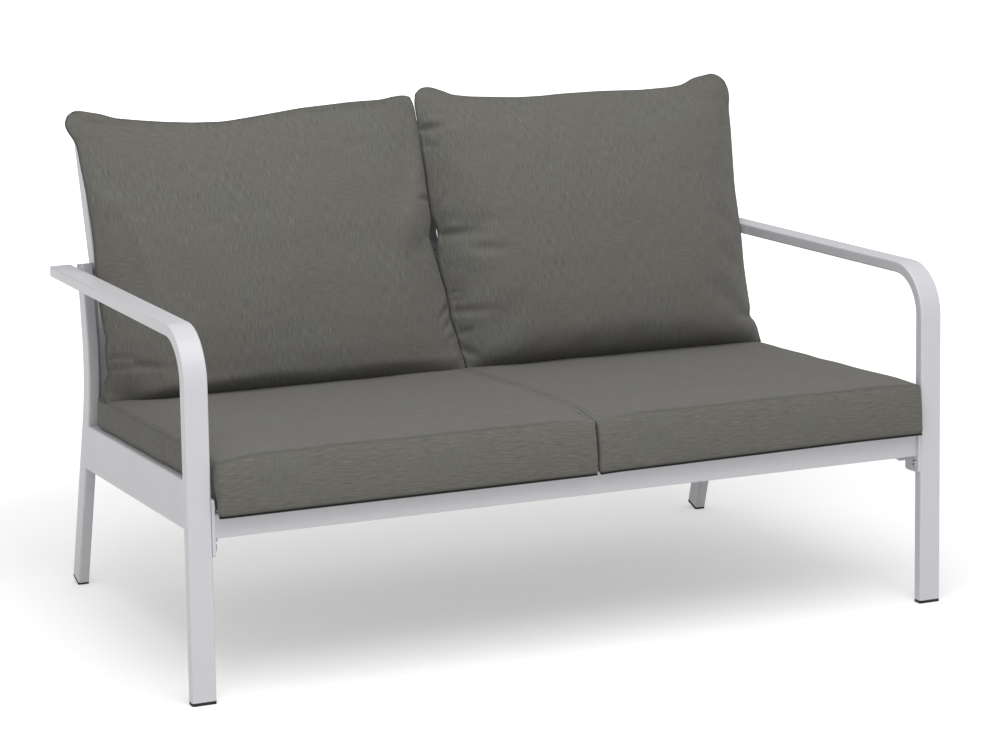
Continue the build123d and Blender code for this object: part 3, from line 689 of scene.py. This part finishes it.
def sew_back(side, name):
    """One loose back cushion: two panels sewn to a knife edge, with ears at its corners."""
    settings = bpy.context.scene.loveseat_cushions
    folds = LEFT_FOLDS if side < 0 else RIGHT_FOLDS
    bm = bmesh.new()
    bmesh.ops.create_grid(bm, x_segments=74, y_segments=60, size=0.5)
    cloth = bm.loops.layers.uv.new("cloth")
    shares = bm.verts.layers.float_vector.new("shares")
    seam = bm.verts.layers.float.new("seam")
    for face in bm.faces:
        for loop in face.loops:
            loop[cloth].uv = ((loop.vert.co.x + 0.5) * 0.62 + 3 * side, (loop.vert.co.y + 0.5) * 0.5)
    twin = bmesh.ops.duplicate(bm, geom=bm.verts[:] + bm.edges[:] + bm.faces[:])["geom"]
    rear_faces = [item for item in twin if isinstance(item, bmesh.types.BMFace)]
    bmesh.ops.reverse_faces(bm, faces=rear_faces)
    rear = {vert for face in rear_faces for vert in face.verts}
    for vert in bm.verts:
        across, up = vert.co.x + 0.5, vert.co.y + 0.5
        vert[shares] = (across, up, -1.0 if vert in rear else 1.0)
        edge = min(across, 1 - across, up, 1 - up) < EDGE
        vert[seam] = 1.0 if edge else 0.0
    border = [vert for vert in bm.verts if vert[seam] > 0.5]
    bmesh.ops.remove_doubles(bm, verts=border, dist=1e-5)
    for vert in bm.verts:
        across, up, front = vert[shares]
        x, rise = back_outline(side, across, up)
        out = seam_curl(side, across, up)
        if vert[seam] < 0.5:
            bulge = back_bulge(side, across, up, front > 0)
            out += bulge
            # The belly of the front sinks onto the seat
            rise -= BELLY_SINK * min(1.0, max(0.0, bulge) / BELLY_BULGE) * (1 - ease(up / 0.22))
        vert.co = back_point(x, rise, out)
    bmesh.ops.recalc_face_normals(bm, faces=bm.faces)
    hold_seams(bm, seam, 1.0)
    piece = new_piece(name, bm, once(woven_olefin, "woven_slub_olefin_back", 0.46, 0.72))
    mesh = piece.data
    seams = readings(mesh, "seam", "value")
    pins = [(index, 1.0) for index, weight in enumerate(seams) if weight > 0.5]
    free = [index for index, weight in enumerate(seams) if weight <= 0.5]
    places = inflate(piece, settings.back_pressure, 0.018, 1.5, 18, pins)
    # The cloth moves further than the cap, so most of what shows is the shape of the tables
    iron(piece, 4, free, places, settings.back_swell)
    refine(piece)
    mesh = piece.data
    seams = readings(mesh, "seam", "value")
    sides = [share[2] for share in readings(mesh, "shares", "vector")]
    for vertex, weight, front in zip(mesh.vertices, seams, sides):
        x, rise, out = back_place(vertex.co)
        if front > 0:
            out -= press_fold(x, rise, folds) * (1 - weight)
        wave = noise.noise(Vector((x * 0.009, rise * 0.011, side * 5 + front))) * 2.2 * (1 - weight)
        out += wave
        # The slats of the back press the rear flat
        out = max(out, SLAT_FACE)
        if rise < ARM_RISE:
            x = max(-ARM_REACH, min(ARM_REACH, x))
        # Neighbours press against each other on the line between their seams
        split = (table(LEFT_INNER, rise) + table(RIGHT_INNER, rise)) / 2
        x = min(x, split + SEAM_OVERLAP) if side < 0 else max(x, split - SEAM_OVERLAP)
        vertex.co = back_point(x, rise, out)
    mesh.attributes.remove(mesh.attributes["shares"])
    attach(piece, name)
    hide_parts(name.replace("_cushion", "_cover"), name.replace("_cushion", "_filling"))
    return piece


def scatter(name, template, places, material):
    """Repeats a small bmesh at many places as one piece."""
    small = bpy.data.meshes.new(name + "_template")
    template.to_mesh(small)
    template.free()
    whole = bmesh.new()
    for start in range(0, len(places), 24):
        group = bmesh.new()
        for place in places[start:start + 24]:
            single = small.copy()
            single.transform(place)
            group.from_mesh(single)
            bpy.data.meshes.remove(single)
        batch = bpy.data.meshes.new(name + "_batch")
        group.to_mesh(batch)
        group.free()
        whole.from_mesh(batch)
        bpy.data.meshes.remove(batch)
    bpy.data.meshes.remove(small)
    return new_piece(name, whole, material)


def facing(way, normal):
    """Turn that lays X along a way and Z along a normal."""
    return Matrix((way, normal.cross(way).normalized(), normal)).transposed().to_4x4()


def bead():
    """Small faceted ball of radius 1, for stitches and zip teeth."""
    bm = bmesh.new()
    bmesh.ops.create_icosphere(bm, subdivisions=1, radius=1.0)
    return bm


def surface_of(piece):
    """Search tree of a piece's surface."""
    return BVHTree.FromPolygons([v.co for v in piece.data.vertices], [p.vertices for p in piece.data.polygons])


def sew_stitches(piece, side, name):
    """Top stitching on a seat cushion, just inside its upper seam."""
    settings = bpy.context.scene.loveseat_cushions
    tree = surface_of(piece)
    low, high = SEAT_SIDES[side]
    places = []
    inset = 17
    corners = [(low + 9, inset), (high - 9, inset), (high - 9, SEAT_DEPTH - inset), (low + 9, SEAT_DEPTH - inset)]
    walk = []
    for (ax, ad), (bx, bd) in zip(corners, corners[1:] + corners[:1]):
        length = sqrt((bx - ax) ** 2 + (bd - ad) ** 2)
        count = int(length * MM / settings.stitch_pitch)
        walk += [(ax + (bx - ax) * i / count, ad + (bd - ad) * i / count, (bx - ax) / length, (bd - ad) / length)
                 for i in range(2, count - 1)]
    for x, deep, way_x, way_d in walk:
        start = seat_point(x, deep, 140)
        spot, normal, index, distance = tree.ray_cast(start, seat_point(x, deep, 0) - start)
        if spot is None:
            continue
        way = (seat_point(x + way_x, deep + way_d, 0) - seat_point(x, deep, 0)).normalized()
        way = (way - normal * way.dot(normal)).normalized()
        size = Matrix.Diagonal((settings.stitch_length / 2, 0.45 * MM, 0.35 * MM, 1))
        places.append(Matrix.Translation(spot + normal * 0.1 * MM) @ facing(way, normal) @ size)
    thread = once(spun_polyester, "bonded_polyester_thread", "#45443f", "#5a5852", 0.6)
    stitches = scatter(name, bead(), places, thread)
    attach(stitches, piece.name)
    return stitches


def lay_zip(points, normals, name, node, body):
    """Coil zip along a line of surface points: tape, teeth and slider."""
    bm = bmesh.new()
    count = len(points) - 1
    bmesh.ops.create_grid(bm, x_segments=count, y_segments=4, size=0.5)
    for vert in bm.verts:
        index = round((vert.co.x + 0.5) * count)
        way = (points[min(index + 1, count)] - points[max(index - 1, 0)]).normalized()
        aside = normals[index].cross(way).normalized()
        vert.co = points[index] + aside * vert.co.y * 9 * MM + normals[index] * 0.25 * MM
    bmesh.ops.solidify(bm, geom=bm.faces[:], thickness=0.5 * MM)
    tape = new_piece(name + "_tape", bm, once(spun_polyester, "knitted_zip_tape", "#4a4944", "#5d5b55", 0.7))
    places = []
    length = sum((b - a).length for a, b in zip(points, points[1:]))
    teeth = int(length / (2.4 * MM))
    for number in range(teeth):
        place = number / teeth * count
        index = int(place)
        spot = points[index].lerp(points[index + 1], place - index)
        way = (points[index + 1] - points[index]).normalized()
        normal = normals[index]
        aside = normal.cross(way).normalized()
        for half in (-1, 1):
            shift = spot + aside * half * 1.1 * MM + way * (0.6 * MM if half > 0 else 0) + normal * 0.9 * MM
            size = Matrix.Diagonal((0.75 * MM, 1.5 * MM, 0.7 * MM, 1))
            places.append(Matrix.Translation(shift) @ facing(way, normal) @ size)
    coil = scatter(name + "_coil", bead(), places, once(moulded_plastic, "nylon_zip_coil", "#2c2b29", "#3a3936", 0.4))
    bm = bmesh.new()
    index = count - 3
    way = (points[index + 1] - points[index]).normalized()
    normal = normals[index]
    turn = facing(way, normal)
    for along, lift, size in ((0, 2.2, (11, 8, 2.6)), (-1, 4.4, (4, 3, 2.6)), (-12, 5.0, (22, 5, 1.3))):
        spot = Matrix.Translation(points[index] + way * along * MM + normal * lift * MM)
        made = bmesh.ops.create_cube(bm, size=MM, matrix=spot @ turn @ Matrix.Diagonal((*size, 1)))
        edges = {edge for vert in made["verts"] for edge in vert.link_edges}
        bmesh.ops.bevel(bm, geom=list(edges), affect="EDGES", offset=0.45 * MM, segments=2, profile=0.5, material=-1)
    slider = new_piece(name + "_slider", bm, once(turned_steel, "painted_zinc_slider", "#4b4a48", 0.35, "#5c5a57"))
    for piece in (tape, coil, slider):
        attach(piece, body)
    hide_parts(node)


def zip_cushion(piece, name, ends, from_point, to_point):
    """Zip on a cushion, where lines from one row of points to another meet it, ZIP_MARGIN inside its ends."""
    tree = surface_of(piece)
    points, normals = [], []
    for number in range(ZIP_STEPS + 1):
        x = ends[0] + ZIP_MARGIN + (ends[1] - ends[0] - 2 * ZIP_MARGIN) * number / ZIP_STEPS
        start = from_point(x)
        spot, normal, index, distance = tree.ray_cast(start, to_point(x) - start)
        points.append(spot)
        normals.append(normal)
    lay_zip(points, normals, name + "_zip_run", name + "_zip", name + "_cushion")


def finish_node(name, material):
    """Gives a CAD node its finish."""
    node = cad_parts[name]
    if not node.material_slots:
        node.data.materials.append(material)
    for slot in node.material_slots:
        slot.material = material


def number(name, description, default, unit="LENGTH", least=0.0):
    """Setting that is a number."""
    return FloatProperty(name=name, description=description, default=default, min=least, unit=unit)


def colour(name, description, code):
    """Setting that is a colour, from its sRGB hex code."""
    return FloatVectorProperty(name=name, description=description, subtype="COLOR", size=4, min=0, max=1,
                               default=linear(code))


class LoveseatFrameSettings(PropertyGroup):
    """Finish of the tube frame."""
    paint_colour: colour("Paint", "Colour of the powder coat", "#cdcdd3")


class LoveseatCushionSettings(PropertyGroup):
    """Sizes and colours of the cushions."""
    fabric_colour: colour("Fabric", "Paler yarn of the weave", "#70716c")
    fabric_shade: colour("Fabric shade", "Darker yarn of the weave", "#5a5a57")
    slub_colour: colour("Slub", "Palest slubs of the yarn", "#92928a")
    seat_crown: number("Seat crown", "Rise of a seat cushion's middle over its seams", 9 * MM)
    back_swell: number("Back swell", "Most that the simulation may move a back cover", 9 * MM)
    back_pressure: number("Back pressure", "Push of the filling on a back cover", 3.0, "NONE")
    back_front_bulge: number("Front bulge", "Reach of a back cushion before its seams", 70 * MM)
    back_rear_bulge: number("Rear bulge", "Reach of a back cushion behind its seams", 58 * MM)
    seam_depth: number("Seam depth", "How far a sewn seam sinks", 2.2 * MM)
    stitch_pitch: number("Stitch pitch", "Distance from stitch to stitch", 4.2 * MM, least=0.001)
    stitch_length: number("Stitch length", "Length of one stitch that shows", 3.0 * MM, least=0.0005)


class LoveseatStageSettings(PropertyGroup):
    """Floor, light and camera."""
    floor_size: number("Floor", "Side of the floor", 120.0, least=1.0)
    floor_lift: number("Floor lift", "White added to the floor where the camera sees it", 0.34, "NONE")
    key_power: number("Key light", "Power of the large lamp overhead", 63.0, "POWER")
    fill_power: number("Fill light", "Power of the soft lamp in front", 14.0, "POWER")
    sky_level: number("Surround", "Strength of the white surround", 0.56, "NONE")


class LOVESEAT_OT_finish_frame(Operator):
    """Gives every tube, plug, bolt, nut and spacer its finish."""
    bl_idname = "loveseat.finish_frame"
    bl_label = "Finish the frame"

    def execute(self, context):
        finishes = (
            (("arm_tube", "rear_leg", "side_rail", "front_bracket", "back_", "front_rail", "rear_rail",
              "centre_bearer", "seat_slat"), once(powder_coat)),
            (("front_foot", "rear_foot"),
             once(moulded_plastic, "moulded_black_polyethylene", "#050506", "#0b0b0c", 0.6)),
            (("arm_end_plug", "post_cap", "upright_"),
             once(moulded_plastic, "moulded_white_polyethylene", "#c9c9cc", "#d0d0d2", 0.5)),
            (("bracket_bolts", "arm_bolts", "leg_bolts"),
             once(turned_steel, "turned_stainless_steel", "#b4b4b2", 0.25, "#a2a29f")),
            (("rivet_nuts",), once(turned_steel, "zinc_plated_steel", "#a9aaa6", 0.35, "#8f918c")),
            (("frame_spacers",), once(moulded_plastic, "moulded_grey_nylon", "#5b5b5e", "#68686a", 0.55)),
        )
        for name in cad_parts:
            if name.endswith(("_cover", "_filling", "_zip")):
                continue
            for starts, material in finishes:
                if name.startswith(starts):
                    finish_node(name, material)
                    break
            else:
                raise RuntimeError("no finish for " + name)
        return {"FINISHED"}


class LOVESEAT_OT_seat_cushions(Operator):
    """Sews both seat cushions, with their stitching and zips."""
    bl_idname = "loveseat.seat_cushions"
    bl_label = "Sew the seat cushions"

    def execute(self, context):
        for side, name in ((-1, "seat_left"), (1, "seat_right")):
            piece = sew_seat(side, name + "_cushion")
            sew_stitches(piece, side, name + "_stitching")
            # Along the rear
            zip_cushion(piece, name, SEAT_SIDES[side], lambda x: seat_point(x, SEAT_DEPTH + ZIP_MARGIN, SEAT_ZIP),
                        lambda x: seat_point(x, 0, SEAT_ZIP))
        return {"FINISHED"}


class LOVESEAT_OT_back_cushions(Operator):
    """Sews both back cushions, with their zips."""
    bl_idname = "loveseat.back_cushions"
    bl_label = "Sew the back cushions"

    def execute(self, context):
        for side, name in ((-1, "back_left"), (1, "back_right")):
            piece = sew_back(side, name + "_cushion")
            # In the lower edge
            rows = (LEFT_OUTER, LEFT_INNER) if side < 0 else (RIGHT_INNER, RIGHT_OUTER)
            zip_cushion(piece, name, [row[0][1] for row in rows], lambda x: back_point(x, 8, -110),
                        lambda x: back_point(x, 8, 0))
        return {"FINISHED"}


class LOVESEAT_OT_stage(Operator):
    """Lays the floor and sets the lamps, the surround and the camera."""
    bl_idname = "loveseat.stage"
    bl_label = "Set the stage"

    def execute(self, context):
        scene = context.scene
        settings = scene.loveseat_stage
        bm = bmesh.new()
        bmesh.ops.create_grid(bm, x_segments=1, y_segments=1, size=settings.floor_size / 2)
        floor = new_piece("paper_floor", bm, once(studio_floor), smooth=False)
        lamps = (
            ("key_lamp", settings.key_power, 2.6, (-0.4, -1.5, 3.0), (0.0, 0.0, 0.3)),
            ("fill_lamp", settings.fill_power, 3.0, (-1.6, -4.4, 1.6), (0.0, 0.0, 0.45)),
        )
        for name, power, size, place, target in lamps:
            light = bpy.data.lights.new(name, "AREA")
            light.energy = power
            light.size = size
            lamp = bpy.data.objects.new(name, light)
            lamp.location = place
            lamp.rotation_euler = (Vector(target) - Vector(place)).to_track_quat("-Z", "Y").to_euler()
            scene.collection.objects.link(lamp)
        world = bpy.data.worlds.new("white_surround")
        world.use_nodes = True
        tree = world.node_tree
        tree.nodes.clear()
        rays = add_node(tree, "LightPath")
        seen = add_node(tree, "MapRange", values={"To Min": settings.sky_level, "To Max": 1.0},
                links={"Value": rays.outputs["Is Camera Ray"]})
        sky = add_node(tree, "Background", values={"Color": (1, 1, 1, 1)}, links={"Strength": seen})
        add_node(tree, "OutputWorld", links={"Surface": sky})
        scene.world = world
        lens = bpy.data.cameras.new("photo_camera")
        lens.lens = CAMERA_LENS
        lens.sensor_width = 36.0
        lens.sensor_fit = "HORIZONTAL"
        lens.shift_y = CAMERA_SHIFT
        camera = bpy.data.objects.new("photo_camera", lens)
        camera.location = CAMERA_PLACE
        camera.rotation_euler = Euler([radians(angle) for angle in CAMERA_TURN], "XYZ")
        scene.collection.objects.link(camera)
        scene.camera = camera
        scene.view_settings.view_transform = "Standard"
        return {"FINISHED"}


class LOVESEAT_PT_panel(Panel):
    """Lists the settings and steps of the loveseat."""
    bl_idname = "LOVESEAT_PT_panel"
    bl_label = "Patio loveseat"
    bl_space_type = "VIEW_3D"
    bl_region_type = "UI"
    bl_category = "Loveseat"

    def draw(self, context):
        layout = self.layout
        for name in ("loveseat_frame", "loveseat_cushions", "loveseat_stage"):
            group = getattr(context.scene, name)
            box = layout.box()
            for key in group.__annotations__:
                box.prop(group, key)
        for step in STEPS:
            layout.operator(step.bl_idname)


STEPS = (LOVESEAT_OT_finish_frame, LOVESEAT_OT_seat_cushions, LOVESEAT_OT_back_cushions, LOVESEAT_OT_stage)
CLASSES = (LoveseatFrameSettings, LoveseatCushionSettings, LoveseatStageSettings) + STEPS + (LOVESEAT_PT_panel,)


def register():
    """Registers the classes and hangs the settings on the scene."""
    for item in CLASSES:
        bpy.utils.register_class(item)
    bpy.types.Scene.loveseat_frame = PointerProperty(type=LoveseatFrameSettings)
    bpy.types.Scene.loveseat_cushions = PointerProperty(type=LoveseatCushionSettings)
    bpy.types.Scene.loveseat_stage = PointerProperty(type=LoveseatStageSettings)


def unregister():
    """Takes the settings off the scene and unregisters the classes."""
    for name in ("loveseat_frame", "loveseat_cushions", "loveseat_stage"):
        delattr(bpy.types.Scene, name)
    for item in reversed(CLASSES):
        bpy.utils.unregister_class(item)


def main():
    """Runs every step in order."""
    register()
    bpy.ops.loveseat.finish_frame()
    bpy.ops.loveseat.seat_cushions()
    bpy.ops.loveseat.back_cushions()
    bpy.ops.loveseat.stage()


if __name__ == "__main__":
    main()
